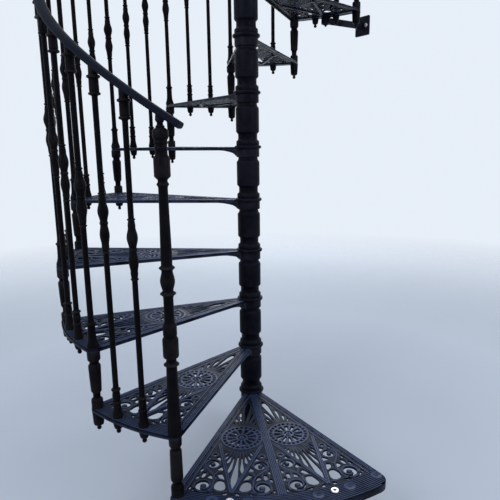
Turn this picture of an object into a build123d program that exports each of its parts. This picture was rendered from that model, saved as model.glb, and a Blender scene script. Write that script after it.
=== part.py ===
from build123d import *
import math
import os

os.makedirs("parts", exist_ok=True)

# Layout of the stair, clockwise going up as seen from above
RISE = 200.0
LEVELS = 12
STEP_ANGLE = 25.85
NEWEL_ANGLE = -108.1
BALUSTER_R = 704.0
NOSING = 20.0
END_NOSING = 44.0

# Centre column
POLE_D = 60.0
POLE_WALL = 4.0
POLE_FOOT_T = 10.0
BORE_GAP = 0.25
COLUMN_SIDES = 10
HUB_D = 88.0
HUB_DROP = 37.0
RING_D = 103.0
RING_H = 7.0
RING_BEVEL = 3.0
COLLAR_H = 23.0
NECK_D = 73.0
NECK_TOP = 50.0
SLEEVE_D = 88.0
SLEEVE_TOP = 148.0
TAPER_H = 8.0
FINIAL_H = 880.0
FINIAL_CAP = 84.0
FINIAL_RING_H = 10.0
FINIAL_COVE_H = 12.0
FINIAL_NECK_H = 28.0
BALL_D = 100.0

# Base flange of the column
FLANGE_D = 220.0
FLANGE_T = 16.0
FLANGE_BOSS_D = 103.0
FLANGE_FOOT_D = 126.0
FLANGE_COVE_H = 14.0
FLANGE_BOSS_H = 10.0
FLANGE_NECK_H = 6.0
FLANGE_BOLT_PCD = 170.0
FLANGE_BOLT_D = 14.0
FLANGE_BOLTS = 4

# Tread casting
PLATE_T = 8.0
RIM_DEPTH = 12.0
RIM_WALL = 8.0
BAND_IN = 26.0
SKIRT_DROP = 28.0
SKIRT_WALL = 8.0
FLARE_R = 115.0
FLARE_KNEE_R = 62.0
FLARE_KNEE_DROP = 20.0
EDGE_LAP = 18.0
CORNER_R = 20.0
END_CORNER_R = 38.0
BORDER_IN = 14.0
BOLT_HOLE_D = 13.0
HOLE_SIDES = 6
POCKET_CHORDS = 3

# Rosette and its sunburst of rays
ROSETTE_POS = 371.0
PETALS = 6
PETAL_IN = 18.0
PETAL_OUT = 54.0
PETAL_W = 24.0
RAY_START = 92.0
RAY_W = 16.0
RAY_STEP = 21.0
RAY_PAIRS = 1
RAY_MARGIN = 8.0
V_START = 412.0
V_HALF = 73.0
TIP_IN = 36.0

# Leaf openings of the scrolls in the panels beside the ribs
SMALL_LEAF_L = 40.0
SMALL_LEAF_W = 26.0
SMALL_LEAF_IN = 163.0
SMALL_LEAF_ANGLE = 8.0
LARGE_LEAF_L = 62.0
LARGE_LEAF_W = 44.0
LARGE_LEAF_IN = 65.0
LARGE_LEAF_ANGLE = 8.1

# Turned balusters
BALUSTER_SIDES = 6
SLIM_FOOT_R = 16.0
SLIM_SHAFT_R = 8.5
SLIM_KNOP_R = 15.5
MAIN_FOOT_R = 19.0
MAIN_SHAFT_R = 9.0
MAIN_KNOP_R = 18.0
TOP_COLLAR_R = 16.5
TOP_NECK_R = 11.5
KNOP_LOW = 486.0
KNOP_HIGH = 650.0
KNOP_SHOULDER = 36.0
KNOP_WAIST_R = 10.0
SLIM_FOOT_H = 30.0
MAIN_FOOT_H = 34.0
TOP_COLLAR_DROP = 60.0
COLLAR_LIP = 6.0

# Entry newel, members named from the tread upwards
NEWEL_SIDES = 8
NEWEL_BASE_R = 20.0
NEWEL_R = 22.0
NEWEL_SHOULDER_R = 19.5
NEWEL_NECK_R = 14.5
NEWEL_SHAFT_R = 12.5
NEWEL_BULGE_R = 20.5
NEWEL_COVE = 12.0
NEWEL_RING_H = 16.0
NEWEL_BASE_H = 206.0
NEWEL_BLOCK_H = 56.0
NEWEL_SHOULDER_H = 42.0
NEWEL_NECK_H = 68.0
NEWEL_BULGE_H = 56.0
NEWEL_HEAD_DROP = 158.0
NEWEL_HEAD_H = 50.0
NEWEL_BULB_DROP = 56.0
NEWEL_BULB_H = 26.0
NEWEL_FOOT_R = 36.0
NEWEL_FOOT_T = 8.0
STEM_FOOT_H = 30.0
STEM_CAP_H = 26.0
STEM_NOTCH = 11.0

# Pieces between and below the treads
SPACER_R = 19.0
SPACER_NECK_R = 11.0
SPACER_COLLAR_H = 16.0
SPACER_SHOULDER_H = 18.0
CUP_H = 16.0
CUP_SHRINK = 2.0
DROP_TIP_R = 4.0
PENDANT_DROP = 80.0
SLIM_PENDANT_DROP = 53.0

# Handrail
RAIL_ABOVE = 992.0
RAIL_W = 46.0
RAIL_H = 32.0
RAIL_FLAT_W = 27.0
RAIL_ROLL_H = 10.0
RAIL_OVERRUN_ANGLE = 4.4
RAIL_PARTS = 4
RAIL_STATIONS = 9

# Wall stay below the ninth tread
STAY_LEVEL = 9
STAY_ANGLE = 34.0
STAY_LENGTH = 240.0
STAY_BAR_H = 30.0
STAY_BAR_T = 8.0
STAY_BOLT_R = 13.0
STAY_EYE_R = 21.0
STAY_GAP = 0.25
STAY_FLANGE_W = 90.0
STAY_FLANGE_T = 8.0
STAY_BOLT_D = 11.0
STAY_BOLT_SPAN = 60.0
STAY_NUT_R = 17.0
STAY_NUT_H = 12.0

# Sizes that follow from those above
HALF_STEP = STEP_ANGLE / 2
TIP_R = BALUSTER_R - TIP_IN
POLE_SOCKET = FINIAL_H - BALL_D - FINIAL_CAP
RAIL_START = 1.5 - RAIL_OVERRUN_ANGLE / STEP_ANGLE
RAIL_END = LEVELS - 0.5 + RAIL_OVERRUN_ANGLE / STEP_ANGLE

UP = (Align.CENTER, Align.CENTER, Align.MIN)


def step_angle(index):
    """Plan angle of a place on the stair, counted in treads."""
    return NEWEL_ANGLE - (index - 1.5) * STEP_ANGLE


def on_circle(radius, angle):
    turn = math.radians(angle)
    return (radius * math.cos(turn), radius * math.sin(turn))


def at_baluster(index, height):
    x, y = on_circle(BALUSTER_R, step_angle(index))
    return Pos(x, y, height) * Rot(0, 0, step_angle(index))


def ring_points(height, radius, sides):
    points = []
    for i in range(sides):
        x, y = on_circle(radius, (i + 0.5) * 360 / sides)
        points.append(Vector(x, y, height))
    return points


def flat_face(points):
    return Face(Wire.make_polygon(points, close=True))


def turned(profile, sides):
    """A turned form with flat facets, from heights and radii going up."""
    rings = []
    for height, radius in profile:
        rings.append(ring_points(height, radius, sides))
    faces = [flat_face(rings[0]), flat_face(rings[-1])]
    for low, high in zip(rings, rings[1:]):
        for i in range(sides):
            j = (i + 1) % sides
            faces.append(flat_face([low[i], low[j], high[j], high[i]]))
    return Solid(Shell(faces))


def faceted_bore(height, length):
    """Bore whose flats clear the pole by the running gap."""
    radius = (POLE_D / 2 + BORE_GAP) / math.cos(math.pi / COLUMN_SIDES)
    return turned([(height, radius), (height + length, radius)], COLUMN_SIDES)


def sector_corner(half_angle, lap, radius):
    """Outer corner of a wedge whose sides run beside the corner radials."""
    reach = math.sqrt(radius**2 - lap**2)
    turn = math.radians(half_angle)
    x = reach * math.cos(turn) - lap * math.sin(turn)
    y = reach * math.sin(turn) + lap * math.cos(turn)
    return x, y


def tread_outline(half_angle, radius, corner):
    """Plan of a tread: lapped sides, rounded corners and a curved nosing."""
    apex = EDGE_LAP / math.cos(math.radians(half_angle))
    cx, cy = sector_corner(half_angle, EDGE_LAP, radius)
    sides = Polyline((cx, -cy), (0, -apex), (0, apex), (cx, cy))
    nose = ThreePointArc((cx, cy), (radius, 0), (cx, -cy))
    face = make_face(sides + nose)
    return fillet(outer_corners(face), corner)


def plate_pocket(half_angle, widths):
    """Hollow below the plate, inside the rim and the band of the balusters."""
    lap = EDGE_LAP - RIM_WALL
    radius = BALUSTER_R - BAND_IN
    apex = lap / math.cos(math.radians(half_angle))
    cx, cy = sector_corner(half_angle, lap, radius)
    reach = math.degrees(math.atan2(cy, cx))
    chords = POCKET_CHORDS * widths
    points = [(0, apex), (0, -apex)]
    for i in range(chords + 1):
        points.append(on_circle(radius, -reach + 2 * reach * i / chords))
    return make_face(Polyline(*points, close=True))


def hub_flare(outline):
    """Hub with the swept brackets that carry the plate away from it."""
    profile = [
        (-HUB_DROP, HUB_D / 2),
        (-FLARE_KNEE_DROP, FLARE_KNEE_R),
        (-RIM_DEPTH, FLARE_R),
    ]
    flare = turned(profile, COLUMN_SIDES) & extrude(outline, -HUB_DROP)
    return flare + turned([(-HUB_DROP, HUB_D / 2), (0, HUB_D / 2)], COLUMN_SIDES)


def nosing_skirt(outline):
    """Deeper lip along the curved nosing of the first and last treads."""
    inner = BALUSTER_R + END_NOSING - SKIRT_WALL
    core = Circle(inner)
    return extrude(outline - core, -SKIRT_DROP)


def outer_corners(face):
    return face.vertices().filter_by(lambda v: v.X > BALUSTER_R / 2)


def ray_slot(angle, start, end, width):
    """Narrow slot that starts wide at the rosette and ends in a point."""
    side = math.degrees(math.atan2(width / 2, start))
    a = on_circle(start, angle - side)
    b = on_circle(start, angle + side)
    tip = on_circle(end, angle)
    slot = make_face(Polyline(a, b, tip, close=True))
    return Pos(ROSETTE_POS, 0) * slot


def hub_ray(offset):
    """Length of a ray towards the column, up to the border strip."""
    turn = math.radians(offset)
    half = math.radians(HALF_STEP)
    inner = ROSETTE_POS * math.tan(half) - BORDER_IN / math.cos(half)
    return inner / (math.sin(turn) + math.cos(turn) * math.tan(half))


def tip_ray(offset):
    """Length of a ray towards the nosing, up to a rib of the V."""
    turn = math.radians(offset)
    slope = V_HALF / (TIP_R - V_START)
    run = (TIP_R - ROSETTE_POS) * slope
    return run / (math.sin(turn) + slope * math.cos(turn))


def leaf(radius, angle, length, width):
    """Leaf opening, pointed towards the column and round to the nosing."""
    x, y = on_circle(radius, angle)
    points = [
        (-length / 2, 0),
        (length / 5, -width / 2),
        (length / 2, 0),
        (length / 5, width / 2),
    ]
    return Pos(x, y) * make_face(Polyline(*points, close=True))


def sector_holes():
    """Pierced pattern of one tread width, on the sector's centre line."""
    holes = []
    for i in range(PETALS):
        angle = (i + 0.5) * 360 / PETALS
        half = math.degrees(math.asin(PETAL_W / 2 / PETAL_OUT))
        a = on_circle(PETAL_OUT, angle - half)
        b = on_circle(PETAL_OUT, angle + half)
        tip = on_circle(PETAL_IN, angle)
        petal = make_face(Polyline(a, b, tip, close=True))
        holes.append(Pos(ROSETTE_POS, 0) * petal)
    for i in range(-RAY_PAIRS, RAY_PAIRS + 1):
        offset = i * RAY_STEP
        hub_end = hub_ray(abs(offset)) - RAY_MARGIN
        tip_end = tip_ray(abs(offset)) - RAY_MARGIN
        if i == 0:
            hub_end = ROSETTE_POS - HUB_D
        holes.append(ray_slot(180 + offset, RAY_START, hub_end, RAY_W))
        holes.append(ray_slot(offset, RAY_START, tip_end, RAY_W))
    small = BALUSTER_R - SMALL_LEAF_IN
    large = BALUSTER_R - LARGE_LEAF_IN
    for side in (-1, 1):
        angle = side * SMALL_LEAF_ANGLE
        holes.append(leaf(small, angle, SMALL_LEAF_L, SMALL_LEAF_W))
        angle = side * LARGE_LEAF_ANGLE
        holes.append(leaf(large, angle, LARGE_LEAF_L, LARGE_LEAF_W))
    return holes


def tread_casting(widths, nosing):
    """One casting of one or more tread widths, plate top at its origin."""
    half = widths * HALF_STEP
    corner = END_CORNER_R if widths > 1 else CORNER_R
    outline = tread_outline(half, BALUSTER_R + nosing, corner)
    body = extrude(outline, -RIM_DEPTH)
    body -= Pos(0, 0, -PLATE_T) * extrude(plate_pocket(half, widths), -RIM_DEPTH)
    body += hub_flare(outline)
    if nosing == END_NOSING:
        body += nosing_skirt(outline)
    holes = []
    for i in range(widths):
        turn = Rot(0, 0, (i - (widths - 1) / 2) * STEP_ANGLE)
        for hole in sector_holes():
            holes.append(turn * hole)
    if widths > 1:
        for sixth in (-6, -4, -3, -2, 0, 2, 3, 4, 6):
            x, y = on_circle(BALUSTER_R, sixth * STEP_ANGLE / 6)
            holes.append(Pos(x, y) * RegularPolygon(BOLT_HOLE_D / 2, HOLE_SIDES))
    body -= extrude(Sketch(children=holes), -HUB_DROP)
    return body - faceted_bore(-HUB_DROP, HUB_DROP)


def column_spacer():
    """Ring and sleeve between one tread's hub and the next, bored for the pole."""
    top = RISE - HUB_DROP
    profile = [
        (0, RING_D / 2),
        (RING_H, RING_D / 2),
        (RING_H + RING_BEVEL, HUB_D / 2),
        (COLLAR_H, HUB_D / 2),
        (COLLAR_H + TAPER_H, NECK_D / 2),
        (NECK_TOP, NECK_D / 2),
        (NECK_TOP + TAPER_H, SLEEVE_D / 2),
        (SLEEVE_TOP, SLEEVE_D / 2),
        (top, NECK_D / 2),
    ]
    return turned(profile, COLUMN_SIDES) - faceted_bore(0, top)


def base_flange():
    """Round foot with a pedestal that carries the first hub."""
    top = RISE - HUB_DROP
    plate = [(0, FLANGE_D / 2), (FLANGE_T, FLANGE_D / 2)]
    body = turned(plate, 2 * COLUMN_SIDES)
    boss = FLANGE_T + FLANGE_COVE_H
    neck = boss + FLANGE_BOSS_H
    profile = [
        (FLANGE_T, FLANGE_FOOT_D / 2),
        (boss, FLANGE_BOSS_D / 2),
        (neck, FLANGE_BOSS_D / 2),
        (neck + FLANGE_NECK_H, SLEEVE_D / 2),
        (SLEEVE_TOP, SLEEVE_D / 2),
        (top, NECK_D / 2),
    ]
    body += turned(profile, COLUMN_SIDES)
    body -= faceted_bore(0, top)
    for i in range(FLANGE_BOLTS):
        angle = (i + 0.5) * 360 / FLANGE_BOLTS
        x, y = on_circle(FLANGE_BOLT_PCD / 2, angle)
        body -= Pos(x, y) * Cylinder(FLANGE_BOLT_D / 2, FLANGE_T, align=UP)
    return body


def finial():
    """Top of the column: a sleeve with rings and a ball, over the pole's end."""
    neck = FINIAL_H - BALL_D
    ring = neck - FINIAL_NECK_H - FINIAL_COVE_H
    profile = [
        (0, RING_D / 2),
        (RING_H, RING_D / 2),
        (RING_H + RING_BEVEL, HUB_D / 2),
        (COLLAR_H, HUB_D / 2),
        (COLLAR_H + RING_BEVEL, NECK_D / 2),
        (NECK_TOP, NECK_D / 2),
        (NECK_TOP + TAPER_H, SLEEVE_D / 2),
        (ring - 2 * FINIAL_RING_H, NECK_D / 2),
        (ring - FINIAL_RING_H, RING_D / 2),
        (ring, RING_D / 2),
        (ring + FINIAL_COVE_H, NECK_D / 3),
        (neck, NECK_D / 3),
        (neck + BALL_D * 0.25, BALL_D * 0.46),
        (neck + BALL_D * 0.5, BALL_D / 2),
        (neck + BALL_D * 0.8, BALL_D * 0.4),
        (neck + BALL_D, BALL_D * 0.1),
    ]
    return turned(profile, COLUMN_SIDES) - faceted_bore(0, POLE_SOCKET + BORE_GAP)


def rail_height(index):
    """Middle of the handrail above the floor, at a place on the stair."""
    return index * RISE + RAIL_ABOVE


def rail_section():
    """Moulded rail: flat underside, rolled sides, crowned top."""
    w = RAIL_W / 2
    h = RAIL_H / 2
    flat = RAIL_FLAT_W / 2
    points = [
        (-flat, -h),
        (flat, -h),
        (w, RAIL_ROLL_H - h),
        (w, h - RAIL_ROLL_H),
        (flat, h),
        (-flat, h),
        (-w, h - RAIL_ROLL_H),
        (-w, RAIL_ROLL_H - h),
    ]
    return make_face(Polyline(*points, close=True))


def rail_length(start, end):
    """Length of the helical handrail between two places on the stair."""
    sections = []
    for i in range(RAIL_STATIONS + 1):
        index = start + (end - start) * i / RAIL_STATIONS
        x, y = on_circle(BALUSTER_R, step_angle(index))
        spot = Plane(
            origin=(x, y, rail_height(index)),
            x_dir=(x, y, 0),
            z_dir=(y, -x, 0),
        )
        sections.append(spot * rail_section())
    return loft(sections, ruled=True)


def knop(low, high, radius, shaft):
    """Double knop of a baluster: two swellings with a waist between them."""
    return [
        (low, shaft),
        (low + KNOP_SHOULDER, radius),
        ((low + high) / 2, KNOP_WAIST_R),
        (high - KNOP_SHOULDER, radius),
        (high, shaft),
    ]


def top_collar(height, shaft):
    """Collar under the handrail, where the upright meets it."""
    return [
        (height - TOP_COLLAR_DROP - COLLAR_LIP, shaft),
        (height - TOP_COLLAR_DROP, TOP_COLLAR_R),
        (height, TOP_NECK_R),
    ]


def slim_baluster(height):
    """Turned baluster with a flared foot, a double knop and a top collar."""
    profile = [(0, SLIM_FOOT_R), (SLIM_FOOT_H, SLIM_SHAFT_R)]
    profile += knop(KNOP_LOW, KNOP_HIGH, SLIM_KNOP_R, SLIM_SHAFT_R)
    profile += top_collar(height, SLIM_SHAFT_R)
    return turned(profile, BALUSTER_SIDES)


def main_baluster(height):
    """Heavier baluster where two treads overlap, its knop half a rise lower."""
    low = KNOP_LOW - RISE / 2
    high = KNOP_HIGH - RISE / 2
    profile = [(0, MAIN_FOOT_R), (MAIN_FOOT_H, MAIN_SHAFT_R)]
    profile += knop(low, high, MAIN_KNOP_R, MAIN_SHAFT_R)
    profile += top_collar(height, MAIN_SHAFT_R)
    return turned(profile, BALUSTER_SIDES)


def newel_post(height):
    """Entry newel above the second tread: tapered base, blocks, rings, shaft."""
    block = NEWEL_BASE_H + NEWEL_RING_H + NEWEL_COVE
    shoulder = block + NEWEL_BLOCK_H + NEWEL_SHOULDER_H
    bulge = shoulder + NEWEL_COVE + NEWEL_NECK_H + NEWEL_RING_H
    shaft = bulge + NEWEL_BULGE_H + NEWEL_RING_H
    head = height - NEWEL_HEAD_DROP
    bulb = height - NEWEL_BULB_DROP
    profile = [(0, NEWEL_BASE_R)]
    profile += newel_ring(NEWEL_BASE_H)
    profile += [
        (block, NEWEL_R),
        (block + NEWEL_BLOCK_H, NEWEL_R),
        (shoulder, NEWEL_SHOULDER_R),
        (shoulder + NEWEL_COVE, NEWEL_NECK_R),
    ]
    profile += newel_ring(bulge - NEWEL_RING_H)
    profile += [(bulge + NEWEL_BULGE_H / 2, NEWEL_BULGE_R)]
    profile += newel_ring(shaft - NEWEL_RING_H)
    profile += [
        (head - NEWEL_COVE, NEWEL_SHAFT_R),
        (head, NEWEL_R),
        (head + NEWEL_HEAD_H, NEWEL_R),
        (head + NEWEL_HEAD_H + NEWEL_COVE, NEWEL_NECK_R),
        (bulb - NEWEL_COVE, NEWEL_NECK_R),
        (bulb, NEWEL_R),
        (bulb + NEWEL_BULB_H, NEWEL_R),
        (bulb + NEWEL_BULB_H + NEWEL_COVE, NEWEL_NECK_R),
        (height, NEWEL_NECK_R),
    ]
    return turned(profile, NEWEL_SIDES)


def newel_ring(low):
    """Sharp turned ring of the newel between two necks."""
    return [
        (low, NEWEL_NECK_R),
        (low + NEWEL_RING_H / 2, NEWEL_R),
        (low + NEWEL_RING_H, NEWEL_NECK_R),
    ]


def newel_stem():
    """Stem of the newel between the first two treads, notched near its ends."""
    top = RISE - RIM_DEPTH
    foot = STEM_FOOT_H + STEM_NOTCH
    cap = top - STEM_CAP_H - STEM_NOTCH
    profile = [
        (0, SPACER_R),
        (STEM_FOOT_H, SPACER_R),
        (foot, NEWEL_NECK_R),
        (foot + STEM_NOTCH, SPACER_R),
        (cap - STEM_NOTCH, SPACER_R),
        (cap, NEWEL_NECK_R),
        (cap + STEM_NOTCH, SPACER_R),
        (top, SPACER_R),
    ]
    return turned(profile, NEWEL_SIDES)


def newel_foot():
    """Foot of the newel, from the floor to the first tread's corner boss."""
    top = RISE - RIM_DEPTH
    profile = [
        (0, NEWEL_FOOT_R),
        (NEWEL_FOOT_T, NEWEL_FOOT_R),
        (NEWEL_FOOT_T + NEWEL_COVE, NEWEL_R),
        (NEWEL_FOOT_T + 2 * NEWEL_COVE, SPACER_R),
        (top - 2 * NEWEL_COVE, SPACER_R),
        (top - NEWEL_COVE, SPACER_NECK_R),
        (top, SPACER_R),
    ]
    return turned(profile, NEWEL_SIDES)


def corner_spacer():
    """Barrel between the back corner of a tread and the next tread."""
    top = RISE - RIM_DEPTH
    shoulder = SPACER_COLLAR_H + SPACER_SHOULDER_H
    profile = [
        (0, SPACER_R),
        (SPACER_COLLAR_H, SPACER_NECK_R),
        (shoulder, SPACER_R),
        (top - shoulder, SPACER_R),
        (top - SPACER_COLLAR_H, SPACER_NECK_R),
        (top, SPACER_R),
    ]
    return turned(profile, BALUSTER_SIDES)


def corner_pendant():
    """Drop below a tread's back corner."""
    profile = [
        (-PENDANT_DROP, DROP_TIP_R),
        (-RIM_DEPTH - CUP_H, SPACER_R - CUP_SHRINK),
        (-RIM_DEPTH, SPACER_R),
    ]
    return turned(profile, BALUSTER_SIDES)


def slim_pendant():
    """Small drop below a slim baluster, under the band of the tread."""
    profile = [
        (-SLIM_PENDANT_DROP, DROP_TIP_R),
        (-RIM_DEPTH - CUP_H, SLIM_FOOT_R - CUP_SHRINK),
        (-RIM_DEPTH, SLIM_FOOT_R),
    ]
    return turned(profile, BALUSTER_SIDES)


def wall_stay():
    """Bar from an eye on the stay bolt to a plate on the wall."""
    top = -RIM_DEPTH - STAY_GAP
    eye = turned([(top - STAY_BAR_H, STAY_EYE_R), (top, STAY_EYE_R)], NEWEL_SIDES)
    bar = Pos(STAY_LENGTH / 2, 0, top - STAY_BAR_H / 2)
    eye += bar * Box(STAY_LENGTH, STAY_BAR_T, STAY_BAR_H)
    radius = STAY_BOLT_R + BORE_GAP
    eye -= turned([(top - STAY_BAR_H, radius), (top, radius)], NEWEL_SIDES)
    plate = Pos(STAY_LENGTH + STAY_FLANGE_T / 2, 0, top - STAY_BAR_H / 2)
    eye += plate * Box(STAY_FLANGE_T, STAY_FLANGE_W, STAY_FLANGE_W)
    for side in (-1, 1):
        hole = Pos(STAY_LENGTH, side * STAY_BOLT_SPAN / 2, top - STAY_BAR_H / 2)
        eye -= hole * Rot(0, 90, 0) * Cylinder(STAY_BOLT_D / 2, 4 * STAY_FLANGE_T)
    return eye


def stay_bolt():
    """Turned bolt that hangs from the plate and carries the stay's eye."""
    low = -RIM_DEPTH - STAY_GAP - STAY_BAR_H
    profile = [
        (low - STAY_NUT_H, DROP_TIP_R),
        (low - STAY_NUT_H / 2, STAY_NUT_R),
        (low - STAY_GAP, STAY_NUT_R),
    ]
    body = turned(profile, NEWEL_SIDES)
    shank = [(low - STAY_GAP, STAY_BOLT_R), (-RIM_DEPTH, STAY_BOLT_R)]
    return body + turned(shank, NEWEL_SIDES)


def save(name, pieces):
    export_step(Compound(children=list(pieces)), "parts/" + name + ".step")


regular_tread = tread_casting(1, NOSING)
double_tread = tread_casting(2, END_NOSING)
for level in range(1, LEVELS + 1):
    if level == 1:
        tread = Rot(0, 0, step_angle(0.5)) * double_tread
    elif level == LEVELS:
        tread = Rot(0, 0, step_angle(LEVELS + 0.5)) * double_tread
    else:
        tread = Rot(0, 0, step_angle(level)) * regular_tread
    save("tread_%02d" % level, [Pos(0, 0, level * RISE) * tread])

landing_top = LEVELS * RISE
save("base_flange", [base_flange()])
pole_length = landing_top + POLE_SOCKET
pole = Cylinder(POLE_D / 2, pole_length, align=UP)
pole -= Pos(0, 0, POLE_FOOT_T) * Cylinder(POLE_D / 2 - POLE_WALL, pole_length, align=UP)
save("centre_pole", [pole])
save("column_finial", [Pos(0, 0, landing_top) * finial()])
spacer = column_spacer()
spacers = []
for level in range(1, LEVELS):
    spacers.append(Pos(0, 0, level * RISE) * spacer)
save("column_spacers", spacers)

rails = []
for i in range(RAIL_PARTS):
    start = RAIL_START + (RAIL_END - RAIL_START) * i / RAIL_PARTS
    end = RAIL_START + (RAIL_END - RAIL_START) * (i + 1) / RAIL_PARTS
    rails.append(rail_length(start, end))
    save("handrail_%d" % (i + 1), [rails[i]])


def under_rail(post, index):
    """Trim the top of an upright to the underside of the handrail."""
    share = (RAIL_END - RAIL_START) / RAIL_PARTS
    for i in range(RAIL_PARTS):
        start = RAIL_START + share * i - 0.2
        if start < index < start + share + 0.4:
            post -= rails[i]
    return post


slim_low = []
slim_high = []
slim_drops = []
for level in range(2, LEVELS):
    for side in (-1, 1):
        index = level + side / 6
        foot = level * RISE
        height = rail_height(index) - foot
        post = at_baluster(index, foot) * slim_baluster(height)
        post = under_rail(post, index)
        if level <= LEVELS / 2:
            slim_low.append(post)
        else:
            slim_high.append(post)
        slim_drops.append(at_baluster(index, foot) * slim_pendant())
save("slim_balusters_low", slim_low)
save("slim_balusters_high", slim_high)
save("pendants_slim", slim_drops)

mains = []
spacers = []
drops = []
for level in range(1, LEVELS):
    index = level + 0.5
    foot = (level + 1) * RISE
    height = rail_height(index) - foot
    if level == 1:
        post = at_baluster(index, foot) * newel_post(height)
        save("newel_post", [under_rail(post, index)])
        save("newel_foot", [at_baluster(index, 0) * newel_foot()])
        spacers.append(at_baluster(index, RISE) * newel_stem())
    else:
        post = at_baluster(index, foot) * main_baluster(height)
        mains.append(under_rail(post, index))
        drops.append(at_baluster(index, level * RISE) * corner_pendant())
        spacers.append(at_baluster(index, level * RISE) * corner_spacer())
save("main_balusters", mains)
save("corner_spacers", spacers)
save("pendants_corner", drops)

x, y = on_circle(BALUSTER_R, step_angle(STAY_LEVEL))
stay_spot = Pos(x, y, STAY_LEVEL * RISE)
save("wall_stay", [stay_spot * Rot(0, 0, STAY_ANGLE) * wall_stay()])
save("stay_bolt", [stay_spot * Rot(0, 0, STAY_ANGLE) * stay_bolt()])
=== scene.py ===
import math
import bmesh
import bpy
from mathutils import Matrix, Vector


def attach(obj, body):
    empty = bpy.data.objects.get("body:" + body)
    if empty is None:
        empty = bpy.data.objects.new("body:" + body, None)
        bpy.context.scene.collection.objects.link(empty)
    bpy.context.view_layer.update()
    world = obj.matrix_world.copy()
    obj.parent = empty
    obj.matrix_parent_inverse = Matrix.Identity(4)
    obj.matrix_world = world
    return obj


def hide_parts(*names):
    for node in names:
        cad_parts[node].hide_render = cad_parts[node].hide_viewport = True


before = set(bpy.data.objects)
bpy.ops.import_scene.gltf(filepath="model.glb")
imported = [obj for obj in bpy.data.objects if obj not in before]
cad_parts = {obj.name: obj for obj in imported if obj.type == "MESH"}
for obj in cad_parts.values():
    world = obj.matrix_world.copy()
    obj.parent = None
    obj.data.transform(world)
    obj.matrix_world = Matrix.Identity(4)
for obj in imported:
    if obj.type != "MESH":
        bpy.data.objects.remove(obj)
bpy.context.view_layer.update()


# Base flange: a round cast iron foot that carries the whole column. It is
# turned, painted black with the rest of the stair, and held to the floor by
# four anchor bolts with domed nuts.
MM = 0.001
RISE = 200.0


def new_tree(name, kind, numbers, outputs=()):
    """Shader or geometry node group, with its inputs and its output node."""
    tree = bpy.data.node_groups.new(name, kind + "NodeTree")
    sockets = []
    for label, value in numbers.items():
        sockets.append((label, "INPUT", "Int" if isinstance(value, int) else "Float", value))
    for label in outputs:
        sockets.append((label, "OUTPUT", "Float", None))
    if kind == "Geometry":
        sockets.insert(0, ("Geometry", "INPUT", "Geometry", None))
        sockets.append(("Finish", "INPUT", "Material", None))
        sockets.append(("Geometry", "OUTPUT", "Geometry", None))
    for label, way, sort, value in sockets:
        socket = tree.interface.new_socket(label, in_out=way, socket_type="NodeSocket" + sort)
        if value is not None:
            socket.default_value = value
    given = tree.nodes.new("NodeGroupInput").outputs
    return tree, given, tree.nodes.new("NodeGroupOutput")


def feed(tree, source, target):
    """Link an output to an input, or set the input to a plain value."""
    if isinstance(source, bpy.types.NodeSocket):
        tree.links.new(source, target)
    else:
        target.default_value = source


def wire(tree, node, **inputs):
    """Feed a node's inputs by name, an underscore standing for a space."""
    for label, source in inputs.items():
        feed(tree, source, node.inputs[label.replace("_", " ")])
    return node


def add(tree, kind, **inputs):
    """New node with its inputs fed by name."""
    return wire(tree, tree.nodes.new(kind), **inputs)


def math_of(tree, operation, first, second=0.0, third=0.0):
    """Output of a Math node that joins up to three values."""
    node = tree.nodes.new("ShaderNodeMath")
    node.operation = operation
    for source, target in zip((first, second, third), node.inputs):
        feed(tree, source, target)
    return node.outputs[0]


def object_space(tree):
    """Coordinates in metres, the same on every piece."""
    return tree.nodes.new("ShaderNodeTexCoord").outputs["Object"]


def noise(tree, where, scale, detail, roughness=0.5):
    """Output of a Noise node on given coordinates."""
    node = add(tree, "ShaderNodeTexNoise", Vector=where, Scale=scale, Detail=detail)
    return wire(tree, node, Roughness=roughness).outputs["Fac"]


def remap(tree, value, low, high, to_low=0.0, to_high=1.0):
    """Output of a clamped Map Range node."""
    node = add(tree, "ShaderNodeMapRange", Value=value, From_Min=low, From_Max=high)
    return wire(tree, node, To_Min=to_low, To_Max=to_high).outputs["Result"]


def blend_colours(tree, share, first, second):
    """Output of a colour Mix node."""
    node = tree.nodes.new("ShaderNodeMix")
    node.data_type = "RGBA"
    return wire(tree, node, Factor=share, A=first, B=second).outputs["Result"]


def sand_cast_group():
    """Skin of a painted sand casting: fine grains over slow, soft lumps."""
    numbers = {"Grain Scale": 700.0, "Lump Scale": 45.0}
    tree, given, result = new_tree("Sand Cast Skin", "Shader", numbers, ["Height", "Mottle"])
    where = object_space(tree)
    grain = noise(tree, where, given["Grain Scale"], 2.0)
    lumps = noise(tree, where, given["Lump Scale"], 3.0)
    height = math_of(tree, "MULTIPLY_ADD", grain, 0.35, lumps)
    wire(tree, result, Height=height, Mottle=remap(tree, lumps, 0.35, 0.65))
    return tree


def rubbed_edge_and_highlight_group():
    """Mask of the outer edges and crowns, where rubbing wears the paint thin and a painted
    highlight lies.
    """
    numbers = {"Reach": 0.06, "Patch Scale": 14.0}
    tree, given, result = new_tree("Rubbed Edges And Highlight", "Shader", numbers, ["Mask"])
    sharp = tree.nodes.new("ShaderNodeNewGeometry").outputs["Pointiness"]
    patches = noise(tree, object_space(tree), given["Patch Scale"], 4.0, 0.6)
    edge = math_of(tree, "DIVIDE", math_of(tree, "SUBTRACT", sharp, 0.505), given["Reach"])
    mask = math_of(tree, "MULTIPLY", edge, remap(tree, patches, 0.38, 0.62))
    wire(tree, result, Mask=remap(tree, mask, 0.0, 1.0))
    return tree


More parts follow.
